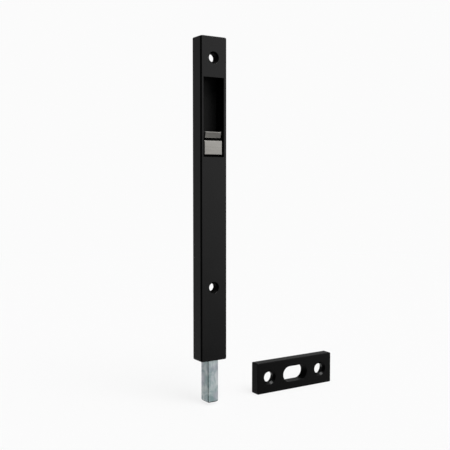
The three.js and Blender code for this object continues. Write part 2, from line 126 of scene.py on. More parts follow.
def block(x, y, z, rounded=None):
    """A block between two limits on each axis. rounded is (test, radius, segments): edges that pass the test
    are rounded."""
    shape = bmesh.new()
    bmesh.ops.create_cube(shape, size=1.0)
    size = Vector((x[1] - x[0], y[1] - y[0], z[1] - z[0]))
    middle = Vector((x[0] + x[1], y[0] + y[1], z[0] + z[1])) / 2
    shape.transform(Matrix.Translation(middle) @ Matrix.Diagonal((*size, 1.0)))
    if rounded:
        test, radius, segments = rounded
        edges = [e for e in shape.edges if test((e.verts[0].co + e.verts[1].co) / 2)]
        bmesh.ops.bevel(
            shape, geom=edges, offset=radius, segments=segments, profile=0.5, affect="EDGES"
        )
    return to_object("block", shape)


def prism(points, axis, span):
    """An outline pushed along one axis. Its points are given on the other two axes, in X, Y, Z order."""
    order = {"X": (1, 2, 0), "Y": (0, 2, 1), "Z": (0, 1, 2)}[axis]
    shape = bmesh.new()
    rings = []
    for level in span:
        ring = []
        for a, b in points:
            corner = [0.0, 0.0, 0.0]
            corner[order[0]], corner[order[1]], corner[order[2]] = a, b, level
            ring.append(shape.verts.new(corner))
        rings.append(ring)
    shape.faces.new(rings[0])
    shape.faces.new(list(reversed(rings[1])))
    count = len(points)
    for i in range(count):
        j = (i + 1) % count
        shape.faces.new((rings[0][j], rings[0][i], rings[1][i], rings[1][j]))
    bmesh.ops.recalc_face_normals(shape, faces=shape.faces)
    return to_object("prism", shape)


def rounded_outline(a, b, radius, steps=8):
    """The points of a rectangle with round corners."""
    points = []
    corners = (
        (a[1] - radius, b[0] + radius, -90),
        (a[1] - radius, b[1] - radius, 0),
        (a[0] + radius, b[1] - radius, 90),
        (a[0] + radius, b[0] + radius, 180),
    )
    for centre_a, centre_b, start in corners:
        for step in range(steps + 1):
            angle = math.radians(start + 90 * step / steps)
            points.append((centre_a + radius * math.cos(angle), centre_b + radius * math.sin(angle)))
    return points


def turned(profile, centre, axis="Y", sides=SMOOTH):
    """A solid turned about an axis. profile lists (radius, place on the axis) and starts and ends on it."""
    order = {"X": (1, 2, 0), "Y": (0, 2, 1), "Z": (0, 1, 2)}[axis]
    shape = bmesh.new()
    rings = []
    for radius, level in profile:
        ring = []
        for side in range(sides if radius > 0 else 1):
            angle = 2 * math.pi * side / sides
            corner = [0.0, 0.0, 0.0]
            corner[order[0]] = centre[0] + radius * math.cos(angle)
            corner[order[1]] = centre[1] + radius * math.sin(angle)
            corner[order[2]] = level
            ring.append(shape.verts.new(corner))
        rings.append(ring)
    for low, high in zip(rings, rings[1:]):
        for side in range(sides):
            after = (side + 1) % sides
            if len(low) == 1:
                shape.faces.new((low[0], high[after], high[side]))
            elif len(high) == 1:
                shape.faces.new((low[side], low[after], high[0]))
            else:
                shape.faces.new((low[side], low[after], high[after], high[side]))
    bmesh.ops.recalc_face_normals(shape, faces=shape.faces)
    return to_object("turned", shape)


def rod(radius, span, centre, axis="Y", sides=SMOOTH):
    """A plain round bar, used as a boss or as a cutter."""
    low, high = span
    return turned([(0, low), (radius, low), (radius, high), (0, high)], centre, axis, sides)


def loft(sections):
    """A closed solid through sections that all have the same number of points."""
    shape = bmesh.new()
    rings = [[shape.verts.new(point) for point in section] for section in sections]
    shape.faces.new(rings[0])
    shape.faces.new(rings[-1])
    count = len(rings[0])
    for low, high in zip(rings, rings[1:]):
        for i in range(count):
            j = (i + 1) % count
            shape.faces.new((low[i], low[j], high[j], high[i]))
    bmesh.ops.recalc_face_normals(shape, faces=shape.faces)
    return to_object("loft", shape)


def freeze(made):
    """Applies every modifier of an object."""
    graph = bpy.context.evaluated_depsgraph_get()
    mesh = bpy.data.meshes.new_from_object(made.evaluated_get(graph))
    old = made.data
    made.modifiers.clear()
    made.data = mesh
    bpy.data.meshes.remove(old)
    return made


def combine(target, operation, tools):
    """Joins tools to a solid or cuts them from it. The tools are used up."""
    for tool in tools:
        change = target.modifiers.new("change", "BOOLEAN")
        change.operation = operation
        change.solver = "EXACT"
        change.object = tool
        freeze(target)
        mesh = tool.data
        bpy.data.objects.remove(tool)
        bpy.data.meshes.remove(mesh)
    return target


def cut(target, *tools):
    return combine(target, "DIFFERENCE", tools)


def join(target, *tools):
    return combine(target, "UNION", tools)


def clean(made):
    """Merges doubled points and flattens the leftover edges of cuts."""
    shape = bmesh.new()
    shape.from_mesh(made.data)
    bmesh.ops.remove_doubles(shape, verts=shape.verts, dist=1e-4)
    bmesh.ops.dissolve_limit(
        shape,
        angle_limit=math.radians(0.5),
        verts=shape.verts,
        edges=shape.edges,
        use_dissolve_boundaries=False,
    )
    bmesh.ops.recalc_face_normals(shape, faces=shape.faces)
    shape.to_mesh(made.data)
    shape.free()


def soften(made, width, segments=2, angle=32):
    """Rounds every edge sharper than the angle, and evens the shading."""
    clean(made)
    made.data.polygons.foreach_set("use_smooth", [True] * len(made.data.polygons))
    if width:
        bevel = made.modifiers.new("bevel", "BEVEL")
        bevel.width = width
        bevel.segments = segments
        bevel.limit_method = "ANGLE"
        bevel.angle_limit = math.radians(angle)
        bevel.use_clamp_overlap = False
        bevel.miter_outer = "MITER_ARC"
    even = made.modifiers.new("even", "WEIGHTED_NORMAL")
    even.weight = 90
    even.keep_sharp = True
    return freeze(made)


def finish_piece(made, name, body, slot, material, *nodes):
    """Puts a piece that was made in millimetres into the frame, in place of CAD nodes."""
    made.name = name
    made.data.name = name
    made.data.transform(Matrix.Scale(MM, 4))
    made.data.materials.clear()
    made.data.materials.append(material)
    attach(made, body)
    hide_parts(*nodes)
    return made


def second_material(made, material, wanted):
    """Gives another material to the faces that pass a test."""
    made.data.materials.append(material)
    for face in made.data.polygons:
        face.material_index = 1 if wanted(face) else 0


# ------------------------------------------------------------------ material kit


class Nodes:
    """A short way to write a node tree."""

    def __init__(self, name):
        self.material = bpy.data.materials.new(name)
        self.material.use_nodes = True
        self.tree = self.material.node_tree
        self.shader = next(n for n in self.tree.nodes if n.type == "BSDF_PRINCIPLED")

    def add(self, kind, values=(), **settings):
        node = self.tree.nodes.new(kind)
        for key, value in settings.items():
            setattr(node, key, value)
        for key, value in dict(values).items():
            node.inputs[key].default_value = value
        return node

    def link(self, start, end):
        self.tree.links.new(start, end)

    def place(self, stretch=(1, 1, 1)):
        """Object coordinates, stretched: a small number makes long marks on that axis."""
        coordinates = self.add("ShaderNodeTexCoord")
        mapping = self.add("ShaderNodeMapping", {"Scale": stretch})
        self.link(coordinates.outputs["Object"], mapping.inputs["Vector"])
        return mapping.outputs["Vector"]

    def noise(self, scale, detail=2.0, roughness=0.5, stretch=(1, 1, 1), distortion=0.0):
        made = self.add(
            "ShaderNodeTexNoise",
            {"Scale": scale, "Detail": detail, "Roughness": roughness, "Distortion": distortion},
        )
        self.link(self.place(stretch), made.inputs["Vector"])
        return made.outputs["Fac"]

    def spread(self, source, low, high, start=0.3, end=0.7):
        """Maps a noise's middle range to low..high."""
        made = self.add(
            "ShaderNodeMapRange", {"From Min": start, "From Max": end, "To Min": low, "To Max": high}
        )
        self.link(source, made.inputs["Value"])
        return made.outputs["Result"]

    def blend_colour(self, factor, first, second):
        made = self.add("ShaderNodeMix", data_type="RGBA")
        self.link(factor, made.inputs["Factor"])
        for socket, value in (("A", first), ("B", second)):
            place = next(s for s in made.inputs if s.name == socket and s.type == "RGBA")
            if hasattr(value, "is_output"):
                self.link(value, place)
            else:
                place.default_value = (*value, 1.0)
        return next(s for s in made.outputs if s.type == "RGBA")

    def bump(self, layers):
        """Bumps on top of each other. Each is (height, distance in metres, strength)."""
        below = None
        for height, distance, strength in layers:
            made = self.add("ShaderNodeBump", {"Distance": distance, "Strength": strength})
            self.link(height, made.inputs["Height"])
            if below:
                self.link(below, made.inputs["Normal"])
            below = made.outputs["Normal"]
        self.link(below, self.shader.inputs["Normal"])

    def set(self, **values):
        for key, value in values.items():
            socket = self.shader.inputs[key.replace("_", " ")]
            if hasattr(value, "is_output"):
                self.link(value, socket)
            else:
                socket.default_value = value
        return self.material


def powder_coat(name, dark, light, roughness, specular):
    """Black powder coat: orange peel, a fine grain and small changes of gloss."""
    nodes = Nodes(name)
    peel = nodes.noise(1500, detail=2.0, roughness=0.45)
    grain = nodes.noise(7000, detail=3.0, roughness=0.6)
    cloud = nodes.noise(90, detail=3.0, roughness=0.6)
    colour = nodes.blend_colour(nodes.spread(cloud, 0.0, 1.0), dark, light)
    nodes.bump([(peel, 0.00003, 0.5), (grain, 0.000008, 0.4)])
    gloss = nodes.spread(grain, roughness - 0.05, roughness + 0.07)
    return nodes.set(Base_Color=colour, Roughness=gloss, Specular_IOR_Level=specular)


def plated_steel(name, dark, light, roughness, stretch, mottle=60.0, tint=None):
    """Plated steel: streaks along the way it was drawn, over a soft mottle. tint colours some clouds."""
    nodes = Nodes(name)
    streak = nodes.noise(900, detail=5.0, roughness=0.65, stretch=stretch)
    cloud = nodes.noise(mottle, detail=4.0, roughness=0.62, distortion=0.6)
    speck = nodes.noise(2600, detail=2.0, roughness=0.5)
    base = nodes.blend_colour(nodes.spread(cloud, 0.0, 1.0, 0.38, 0.62), dark, light)
    if tint:
        patch = nodes.noise(90, detail=3.0, roughness=0.55, distortion=0.4)
        base = nodes.blend_colour(nodes.spread(patch, 0.0, 0.55, 0.42, 0.66), base, tint)
    streaked = nodes.blend_colour(
        nodes.spread(streak, 0.0, 0.35), base, tuple(0.55 * channel for channel in dark)
    )
    nodes.bump([(streak, 0.000012, 0.35), (speck, 0.000006, 0.3)])
    gloss = nodes.spread(cloud, roughness - 0.06, roughness + 0.1)
    return nodes.set(Base_Color=streaked, Metallic=1.0, Roughness=gloss)


def moulded_plastic(name, colour, roughness, subsurface=0.0, specular=0.5):
    """Injection-moulded plastic with a fine spark-eroded texture."""
    nodes = Nodes(name)
    texture = nodes.noise(4200, detail=3.0, roughness=0.6)
    cloud = nodes.noise(200, detail=2.0, roughness=0.5)
    darker = tuple(0.8 * channel for channel in colour)
    base = nodes.blend_colour(nodes.spread(cloud, 0.0, 1.0), darker, colour)
    nodes.bump([(texture, 0.000012, 0.4)])
    gloss = nodes.spread(texture, roughness - 0.05, roughness + 0.08)
    nodes.set(Subsurface_Weight=subsurface, Subsurface_Scale=0.0005, Specular_IOR_Level=specular)
    return nodes.set(Base_Color=base, Roughness=gloss)


def black_oxide(name):
    """Blackened screws: nearly black, oily, with worn specks."""
    nodes = Nodes(name)
    speck = nodes.noise(1800, detail=4.0, roughness=0.65)
    worn = nodes.spread(speck, 0.0, 1.0, 0.5, 0.75)
    base = nodes.blend_colour(worn, (0.02, 0.02, 0.022), (0.09, 0.088, 0.085))
    nodes.bump([(speck, 0.00001, 0.3)])
    return nodes.set(Base_Color=base, Metallic=0.85, Roughness=nodes.spread(speck, 0.32, 0.5))


housing_paint = powder_coat("housing_paint", (0.0016,) * 3, (0.0028,) * 3, roughness=0.22, specular=0.32)
strike_paint = powder_coat("strike_paint", (0.0012,) * 3, (0.002,) * 3, roughness=0.24, specular=0.16)
plate_paint = powder_coat("plate_paint", (0.004,) * 3, (0.008,) * 3, roughness=0.4, specular=0.35)
# Painted shade: a darker, less glossy copy of the plate's paint for its inner face, in the shaded well under
# the window.
plate_inside_painted_shade = powder_coat("plate_inside_painted_shade", (0.0012,) * 3, (0.002,) * 3, roughness=0.5, specular=0.21)
bolt_zinc = plated_steel(
    "bolt_zinc",
    dark=(0.46, 0.62, 0.63),
    light=(0.94, 1.0, 1.0),
    roughness=0.45,
    stretch=(1, 1, 0.12),
    mottle=130.0,
    tint=(0.82, 0.76, 0.88),
)
# Painted shade: a near-black copy of the bolt's zinc for its rounded edges, standing in for the dark line
# they reflect.
zinc_edge_painted_shade = plated_steel(
    "zinc_edge_painted_shade",
    dark=(0.03, 0.036, 0.04),
    light=(0.07, 0.078, 0.08),
    roughness=0.42,
    stretch=(1, 1, 0.12),
    mottle=150.0,
)
link_zinc = plated_steel(
    "link_zinc", dark=(0.42, 0.43, 0.44), light=(0.6, 0.61, 0.62), roughness=0.38, stretch=(1, 1, 0.04)
)
satin_nickel = plated_steel(
    "satin_nickel",
    dark=(0.43, 0.415, 0.39),
    light=(0.50, 0.49, 0.46),
    roughness=0.27,
    stretch=(0.06, 1, 1),
    mottle=40.0,
)
bright_steel = plated_steel(
    "bright_steel",
    dark=(0.45, 0.46, 0.47),
    light=(0.6, 0.61, 0.62),
    roughness=0.28,
    stretch=(1, 1, 1),
    mottle=300.0,
)
spring_steel = plated_steel(
    "spring_steel",
    dark=(0.3, 0.31, 0.33),
    light=(0.42, 0.43, 0.44),
    roughness=0.3,
    stretch=(1, 1, 0.1),
    mottle=200.0,
)
screw_black = black_oxide("screw_black")
acetal = moulded_plastic("acetal", (0.009,) * 3, roughness=0.42, specular=0.4)
nylon = moulded_plastic("nylon", (0.68, 0.66, 0.58), roughness=0.5, subsurface=0.25)
rubber = moulded_plastic("rubber", (0.014,) * 3, roughness=0.75)
# Painted shade: near-black and nearly without gloss, laid on hole walls, gaps and recesses where shade
# falls.
painted_shade_black = moulded_plastic("painted_shade_black", (0.001,) * 3, roughness=0.6, specular=0.03)

# ------------------------------------------------------------------ housing

PLATE_HALF = 8.85
PLATE_SPAN = (BOTTOM + 62, BOTTOM + 198.6)
PLATE_FRONT = BACK - 1.0
PLATE_SCREWS = ((-5.8, BOTTOM + 196), (5.8, BOTTOM + 196), (5.8, BOTTOM + 86), (5.8, BOTTOM + 66))
PLATE_BOSS_RADIUS = 2.3
PLATE_THREAD_RADIUS = 1.05
PLATE_THREAD_DEPTH = 5.6  # measured from the back
GUIDE_SCREW_X = 6.0
GUIDE_SCREW_Z = BOTTOM + 24
GUIDE_BOSS_RADIUS = 1.5
GUIDE_BOSS_BACK = FRONT + 2.7
BUFFER_Z = BOTTOM + 91.7
BUFFER_BORE = 2.1
BUFFER_STUD_BACK = FRONT + 7


def screw_hole(height):
    """A countersunk hole for a fastening screw, entered from the front."""
    cone = HOLE_SINK_RADIUS - HOLE_RADIUS
    lip = FRONT + HOLE_LIP
    profile = [
        (0, FRONT - PAST),
        (HOLE_SINK_RADIUS, FRONT - PAST),
        (HOLE_SINK_RADIUS, lip),
        (HOLE_RADIUS, lip + cone),
        (HOLE_RADIUS, BACK + PAST),
        (0, BACK + PAST),
    ]
    return turned(profile, (0, height))


def round_inset(depth):
    """How far the outline is drawn in at a depth behind the front, on the three narrow edges."""
    left_over = max(0.0, FRONT_EDGE - depth)
    return FRONT_EDGE - math.sqrt(FRONT_EDGE**2 - left_over**2)


def left_inset(depth):
    """The same on the broad left edge, a chamfer with rounded ends."""
    for (near, near_inset), (far, far_inset) in zip(LEFT_EDGE, LEFT_EDGE[1:]):
        if depth <= far:
            return near_inset + (far_inset - near_inset) * (depth - near) / (far - near)
    return 0.0


def at_window_corner(middle):
    """Whether an edge of the window's cutter runs front to back at one of its four corners."""
    return abs(middle.x) > 1 and not WINDOW[0] + 1 <= middle.z <= WINDOW[1] - 1


def make_housing():
    """A channel with a closed front, a window, two screw bosses and small bosses for the inner pieces."""
    sections = []
    for depth in OUTLINE_DEPTHS:
        inset = round_inset(depth)
        plan = rounded_outline(
            (-SIDE + left_inset(depth), SIDE - inset),
            (BOTTOM + inset, TOP - inset),
            CORNER_RADIUS - inset,
        )
        sections.append([(x, FRONT + depth, z) for x, z in plan])
    made = loft(sections)
    cavity = block(
        (-CAVITY, CAVITY),
        (FRONT + FRONT_WALL, BACK + 3),
        (BOTTOM + BOTTOM_WALL, TOP - TOP_WALL),
        rounded=(lambda middle: middle.y < BACK, 0.5, 4),
    )
    window = block(
        (-CAVITY, CAVITY),
        (FRONT - PAST, FRONT + FRONT_WALL + PAST),
        WINDOW,
        rounded=(at_window_corner, 0.35, 4),
    )
    bolt_low, bolt_high = node_box("bolt")
    slot = block(
        (bolt_low.x - AIR, bolt_high.x + AIR),
        (FRONT + FRONT_WALL, BACK + PAST),
        (BOTTOM - PAST, BOTTOM + BOTTOM_WALL + PAST),
        rounded=(lambda middle: middle.y < BACK and abs(middle.x) > 1, 0.4, 3),
    )
    cut(made, cavity, window, slot)

    inside = FRONT + FRONT_WALL - 0.1
    for height in HOLE_HEIGHTS:
        join(made, rod(BOSS_RADIUS, (inside, BOSS_BACK), (0, height)))
        cut(made, screw_hole(height))
    for place in PLATE_SCREWS:
        join(made, rod(PLATE_BOSS_RADIUS, (inside, PLATE_FRONT - AIR / 2), place, sides=SMALL))
        thread = (BACK - PLATE_THREAD_DEPTH, BACK + PAST)
        cut(made, rod(PLATE_THREAD_RADIUS, thread, place, sides=SMALL))
    for x in (-GUIDE_SCREW_X, GUIDE_SCREW_X):
        place = (x, GUIDE_SCREW_Z)
        join(made, rod(GUIDE_BOSS_RADIUS, (inside, GUIDE_BOSS_BACK), place, sides=SMALL))
    join(made, rod(BUFFER_BORE - 0.1, (inside, BUFFER_STUD_BACK), (0, BUFFER_Z), sides=SMALL))
    rebate = block(
        (-PLATE_HALF - AIR, PLATE_HALF + AIR),
        (PLATE_FRONT - AIR / 2, BACK + PAST),
        (PLATE_SPAN[0] - AIR, PLATE_SPAN[1] + AIR),
    )
    cut(made, rebate)
    soften(made, 0.12, 2)
    finish_piece(made, "housing_body", "base", "housing_paint", housing_paint, "housing")

    def in_hole(face):
        """Whether a face is part of a screw hole's wall or of its countersink."""
        x, z = face.center.x / MM, face.center.z / MM
        reach = HOLE_SINK_RADIUS - 0.05
        flat = abs(face.normal.y) > 0.9
        return not flat and any(math.hypot(x, z - height) < reach for height in HOLE_HEIGHTS)

    # The walls and countersinks of the housing's screw holes get painted shade.
    second_material(made, painted_shade_black, in_hole)


# ------------------------------------------------------------------ back plate, screws and guides


def cross_recess(face, centre, reach, depth, towards=1):
    """A cross recess that narrows as it goes in. towards is the side that the head faces along Y."""
    tools = []
    for turn in (0, 1):
        sections = []
        for share, wide in ((-0.6, 1.25), (1.0, 0.55)):
            level = face - towards * depth * share
            long_half, short_half = reach * wide, reach * 0.24 * (0.8 + 0.35 * wide)
            half = (long_half, short_half) if turn == 0 else (short_half, long_half)
            sections.append([
                (centre[0] + sx * half[0], level, centre[1] + sz * half[1])
                for sx, sz in ((-1, -1), (1, -1), (1, 1), (-1, 1))
            ])
        tools.append(loft(sections))
    return tools


def sunk_screw(head, centre, rim, shank, tip):
    """A countersunk screw whose head faces +Y, with a rolled thread under it."""
    cone = rim - shank
    pitch = 0.6
    thread_root = shank * 0.78
    profile = [(0, tip), (shank * 0.45, tip), (shank * 0.75, tip + 0.5)]
    level = tip + 0.7
    while level < head - cone - 1.2:
        profile.append((shank, level))
        profile.append((thread_root, level + pitch / 2))
        level += pitch
    profile += [
        (shank * 0.95, head - cone - 0.5),
        (shank, head - 0.15 - cone),
        (rim, head - 0.15),
        (rim - 0.04, head - 0.03),
        (rim - 0.12, head),
        (0, head),
    ]
    return turned(profile, centre, sides=SMALL)


def make_screw(name, node, slot, material, body, centre, rim, shank, reach, recess):
    """A countersunk screw. reach is about half the width of its cross recess, recess about its depth."""
    low, high = node_box(node)
    made = sunk_screw(high.y, centre, rim, shank, low.y)
    cut(made, *cross_recess(high.y, centre, reach, recess))
    soften(made, 0.03, 2, angle=40)
    finish_piece(made, name, body, slot, material, node)


def sunk_hole(head, centre, rim, shank, bottom):
    """A cutter for a countersunk hole that is entered from behind."""
    cone = rim - shank
    profile = [
        (0, bottom),
        (shank, bottom),
        (shank, head - cone - AIR),
        (rim, head - AIR),
        (rim, head + PAST),
        (0, head + PAST),
    ]
    return turned(profile, centre, sides=SMALL)


NOTCH_HALF = 1.3
NOTCH_DEPTH = 0.6


def make_back_plate():
    """The sheet that closes the channel, with a notch for the leaf at each end of the bolt's travel."""
    plan = rounded_outline((-PLATE_HALF, PLATE_HALF), PLATE_SPAN, 0.8)
    made = prism(plan, "Y", (PLATE_FRONT, BACK))
    leaf_low, leaf_high = node_box("detent_leaf")
    rest = (leaf_low.z + leaf_high.z) / 2
    travel = 1000 * frame["joints"][0]["range_m"][1]
    for height in (rest, rest + travel):
        notch = [
            (PLATE_FRONT - PAST, height - NOTCH_HALF),
            (PLATE_FRONT, height - NOTCH_HALF),
            (PLATE_FRONT + NOTCH_DEPTH, height),
            (PLATE_FRONT, height + NOTCH_HALF),
            (PLATE_FRONT - PAST, height + NOTCH_HALF),
        ]
        cut(made, prism(notch, "X", (leaf_low.x - 0.6, leaf_high.x + 0.6)))
    for place in PLATE_SCREWS:
        cut(made, sunk_hole(BACK, place, rim=1.95, shank=1.1, bottom=PLATE_FRONT - PAST))
    soften(made, 0.1, 2)
    finish_piece(made, "back_plate_sheet", "base", "black_steel", plate_paint, "back_plate")
    # The plate's inner face gets painted shade.
    second_material(made, plate_inside_painted_shade, lambda face: face.center.y / MM < BACK - 0.6)


RELIEF_HALF = 1.0  # half the width of a relief slot
RELIEF_DEPTH = 1.4
RELIEF_LENGTH = 3.4
RELIEF_PITCH = 5


def make_guide_cheek(side, name):
    """A nylon block that guides the bolt on one side."""
    low, high = node_box(f"guide_cheek_{name}")
    made = block(
        (low.x, high.x),
        (low.y, high.y),
        (low.z, high.z),
        rounded=(lambda middle: middle.z > high.z - 0.1 and abs(middle.y - low.y) > 0.1, 0.6, 4),
    )
    place = (side * GUIDE_SCREW_X, GUIDE_SCREW_Z)
    pocket = rod(1.65, (low.y - PAST, FRONT + 2.85), place, sides=SMALL)
    cut(made, pocket, sunk_hole(high.y, place, rim=1.5, shank=0.85, bottom=low.y - PAST))
    for number in range(3):  # relief slots that keep the moulding from sinking
        base = low.z + 24 + RELIEF_PITCH * number
        relief = block(
            (place[0] - RELIEF_HALF, place[0] + RELIEF_HALF),
            (high.y - RELIEF_DEPTH, high.y + PAST),
            (base, base + RELIEF_LENGTH),
        )
        cut(made, relief)
    soften(made, 0.1, 2)
    finish_piece(made, f"guide_{name}", "base", "nylon", nylon, f"guide_cheek_{name}")


def make_buffer():
    """A rubber ring with round edges."""
    low, high = node_box("stop_buffer")
    outer = (high.x - low.x) / 2
    edge = 0.5
    profile = [(0, low.y), (outer - edge, low.y)]
    for step in range(1, 7):
        angle = math.radians(15 * step)
        profile.append((outer - edge + edge * math.sin(angle), low.y + edge - edge * math.cos(angle)))
    for step in range(1, 8):
        angle = math.radians(15 * (step - 1))
        profile.append((outer - edge + edge * math.cos(angle), high.y - edge + edge * math.sin(angle)))
    profile.append((0, high.y))
    made = turned(profile, (0, BUFFER_Z), sides=48)
    cut(made, rod(BUFFER_BORE, (low.y - PAST, high.y + PAST), (0, BUFFER_Z), sides=48))
    soften(made, 0.08, 2)
    finish_piece(made, "buffer_ring", "base", "rubber", rubber, "stop_buffer")


# ------------------------------------------------------------------ bolt, link and carriage


RIVETS = (-4.6, 2.4)
RIVET_Z = BOTTOM + 119
LINK_SCREW_Z = BOTTOM + 8.6
BOLT_SEAT_Y = FRONT + 7.3  # where the link lies on the bolt
BOLT_SEAT_BOTTOM = BOTTOM + 2.5
TAPPED_RADIUS = 1.35
TAPPED_FRONT = FRONT + 3.6


def make_bolt():
    """A square bar with a round nose, cut back behind for the link and tapped for the link's screw."""
    low, high = node_box("bolt")
    middle_y = (low.y + high.y) / 2
    half_x, half_y = (high.x - low.x) / 2, (high.y - low.y) / 2
    edge = 0.5
    nose = (1.9, 1.3)  # how far the round nose reaches in from the sides and up from the tip

    def section(height, inset, radius):
        plan = rounded_outline(
            (-half_x + inset, half_x - inset),
            (middle_y - half_y + inset, middle_y + half_y - inset),
            radius,
            steps=5,
        )
        return [(x, y, height) for x, y in plan]

    sections = []
    steps = 10
    for step in range(steps + 1):  # the round nose
        angle = math.radians(90 * step / steps)
        inset = nose[0] * (1 - math.sin(angle))
        height = low.z + nose[1] * (1 - math.cos(angle))
        sections.append(section(height, inset, edge + 0.25 * inset))
    sections.append(section(high.z - 0.3, 0.0, edge))
    sections.append(section(high.z, 0.3, edge))
    made = loft(sections)
    seat = block((-SIDE, SIDE), (BOLT_SEAT_Y, BACK + PAST), (BOLT_SEAT_BOTTOM, high.z + PAST))
    tapped = rod(TAPPED_RADIUS, (TAPPED_FRONT, BACK), (0, LINK_SCREW_Z), sides=SMALL)
    cut(made, seat, tapped)
    soften(made, 0.08, 2)
    finish_piece(made, "bolt_bar", "slider", "bolt_zinc", bolt_zinc, "bolt")
    # The bolt's rounded edges get painted shade: a dark line along each edge.
    second_material(made, zinc_edge_painted_shade, lambda face: max(abs(part) for part in face.normal) < 0.97)


def round_corners(points, radius, steps=5):
    """The same outline with each corner replaced by an arc."""
    rounded = []
    count = len(points)
    for i in range(count):
        before = Vector(points[i - 1])
        here = Vector(points[i])
        after = Vector(points[(i + 1) % count])
        to_before = (before - here).normalized()
        to_after = (after - here).normalized()
        half = to_before.angle(to_after) / 2
        reach = min(radius / math.tan(half), 0.45 * (before - here).length, 0.45 * (after - here).length)
        actual = reach * math.tan(half)
        centre = here + (to_before + to_after).normalized() * (actual / math.sin(half))
        start = here + to_before * reach - centre
        end = here + to_after * reach - centre
        turn = start.angle_signed(end)
        for step in range(steps + 1):
            angle = -turn * step / steps
            arm = Matrix.Rotation(angle, 2) @ start
            rounded.append(tuple(centre + arm))
    return rounded


def make_link():
    """A flat strip that runs up the left side, broad at both ends where it is fastened."""
    low, high = node_box("connecting_link")
    foot_right = 3.0
    strip_right = -3.4
    corners = [
        (low.x, low.z),
        (foot_right, low.z),
        (foot_right, BOTTOM + 13),
        (strip_right, BOTTOM + 16),
        (strip_right, BOTTOM + 110),
        (high.x, BOTTOM + 113),
        (high.x, high.z),
        (low.x, high.z),
    ]
    made = prism(round_corners(corners, 1.2), "Y", (low.y, high.y))
    through = low.y - PAST
    cut(made, sunk_hole(high.y, (0, LINK_SCREW_Z), rim=2.55, shank=1.4, bottom=through))
    for x in RIVETS:
        cut(made, sunk_hole(high.y, (x, RIVET_Z), rim=1.85, shank=1.1, bottom=through))
    soften(made, 0.15, 2)
    finish_piece(made, "link_strip", "slider", "link_zinc", link_zinc, "connecting_link")


def make_rivet(number, x):
    """A rivet with a low round head in front and a countersunk one behind."""
    node = f"link_rivet_{number}"
    low, high = node_box(node)
    head = low.y + 0.6
    shank = 1.0
    profile = [
        (0, low.y),
        (1.3, low.y),
        (1.5, low.y + 0.1),
        (1.6, low.y + 0.3),
        (1.5, head - 0.08),
        (1.35, head),
        (shank, head),
        (shank, high.y - 0.9),
        (1.75, high.y - 0.15),
        (1.72, high.y - 0.04),
        (1.6, high.y),
        (0, high.y),
    ]
    made = turned(profile, (x, RIVET_Z), sides=SMALL)
    soften(made, 0)
    finish_piece(made, f"rivet_{number}", "slider", "bright_steel", bright_steel, node)


PIVOT_Y = FRONT + 3.9
PIVOT_Z = BOTTOM + 151.3
HUB_RADIUS = 1.9
SHOULDER = BOTTOM + 140.4  # the top of the carriage's block
CARRIAGE_FLOOR = FRONT + 6.0  # the thin part behind the lever
STALKS = (5.0, 7.75)  # inner and outer side of the stalks that hold the pin
STEP_HALF = 4.5
STEP_FRONT = FRONT + 2.15
PIN_BORE = 1.04
RIVET_BORE = 1.1
RIVET_HEAD_BORE = 1.75
RIVET_HEAD_BACK = FRONT + 2.65
LEAF_AIR = 0.2  # round the detent leaf in its pocket
POCKET_COLUMNS = (-4.6, 0.0, 4.6)
POCKET_HALF = 1.9
POCKET_FRONT = FRONT + 3.5
POCKET_BOTTOM = BOTTOM + 123.5
POCKET_PITCH = 5.4
POCKET_LENGTH = 4.2


def make_carriage():
    """The slide under the lever: a block, a thin floor behind the lever and two stalks for its pin."""
    low, high = node_box("carriage")
    across = (low.x, high.x)
    made = block(across, (low.y, high.y), (low.z, SHOULDER))
    join(made, block(across, (CARRIAGE_FLOOR, high.y), (SHOULDER - 1, high.z)))
    step = block((-STEP_HALF, STEP_HALF), (STEP_FRONT, CARRIAGE_FLOOR + 0.5), (SHOULDER - 1, SHOULDER + 3))
    join(made, step)
    for side in (-1, 1):
        limits = sorted(side * place for place in STALKS)
        stalk = block(limits, (PIVOT_Y - HUB_RADIUS, high.y - 0.3), (SHOULDER - 1, PIVOT_Z))
        join(made, stalk, rod(HUB_RADIUS, limits, (PIVOT_Y, PIVOT_Z), axis="X", sides=48))
    cut(made, rod(PIN_BORE, (-SIDE, SIDE), (PIVOT_Y, PIVOT_Z), axis="X", sides=SMALL))
    for x in RIVETS:
        cut(made, rod(RIVET_HEAD_BORE, (FRONT, RIVET_HEAD_BACK), (x, RIVET_Z), sides=SMALL))
        cut(made, rod(RIVET_BORE, (FRONT, BACK), (x, RIVET_Z), sides=SMALL))
    leaf_low, leaf_high = node_box("detent_leaf")
    pocket = block(
        (leaf_low.x - LEAF_AIR, leaf_high.x + LEAF_AIR),
        (leaf_low.y - AIR, BACK),
        (leaf_low.z - LEAF_AIR, leaf_high.z + LEAF_AIR),
    )
    cut(made, pocket)
    for column in POCKET_COLUMNS:  # cored pockets that lighten the moulding
        for row in range(3):
            base = POCKET_BOTTOM + POCKET_PITCH * row
            cored = block(
                (column - POCKET_HALF, column + POCKET_HALF),
                (POCKET_FRONT, BACK),
                (base, base + POCKET_LENGTH),
            )
            cut(made, cored)
    soften(made, 0.12, 2)
    finish_piece(made, "carriage_slide", "slider", "acetal", acetal, "carriage")
    # The carriage's front faces, seen in the gaps round the lever, get painted shade.
    second_material(made, painted_shade_black, lambda face: face.center.y / MM < FRONT + 2.5)


